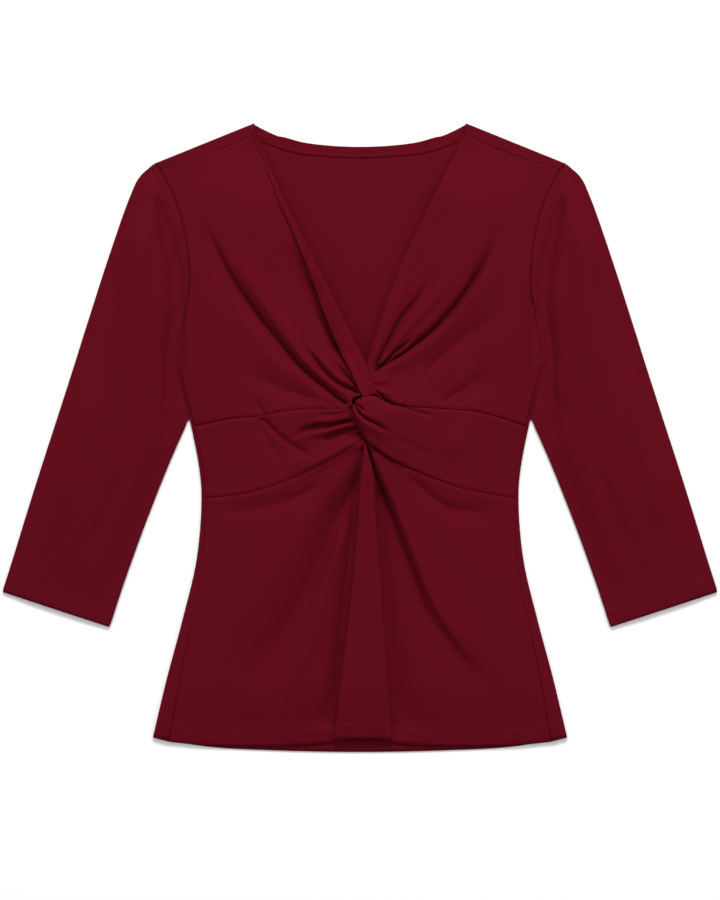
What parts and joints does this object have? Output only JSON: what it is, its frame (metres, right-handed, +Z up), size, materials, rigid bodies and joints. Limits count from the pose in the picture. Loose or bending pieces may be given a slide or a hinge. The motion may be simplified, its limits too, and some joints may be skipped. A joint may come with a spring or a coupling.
{
  "type": "twist-front knit top laid flat",
  "caption": "Burgundy knit top with V neck, twisted knot front, centre box pleat and three-quarter sleeves, lying flat on its back.",
  "frame": {"origin": "centre of the top's outline on the surface that it lies on", "axes": "+X across the top from the wearer's right sleeve to the left one, +Y from hem to neck, +Z up out of the surface through the front"},
  "size_m": [0.7134, 0.6275, 0.0219],
  "materials": {
    "knit": "matte fine-gauge double knit, deep burgundy, soft sheen at grazing angles",
    "knit_inside": "wrong side of the same knit, deep burgundy, matte"
  },
  "bodies": {
    "root": {"back_panel": "knit", "back_neck_facing": "knit_inside", "bust_right": "knit", "bust_left": "knit", "neck_facing_right": "knit_inside", "midriff_right": "knit", "midriff_left": "knit", "skirt_front": "knit", "sleeve_right": "knit", "sleeve_left": "knit"}
  },
  "joints": []
}
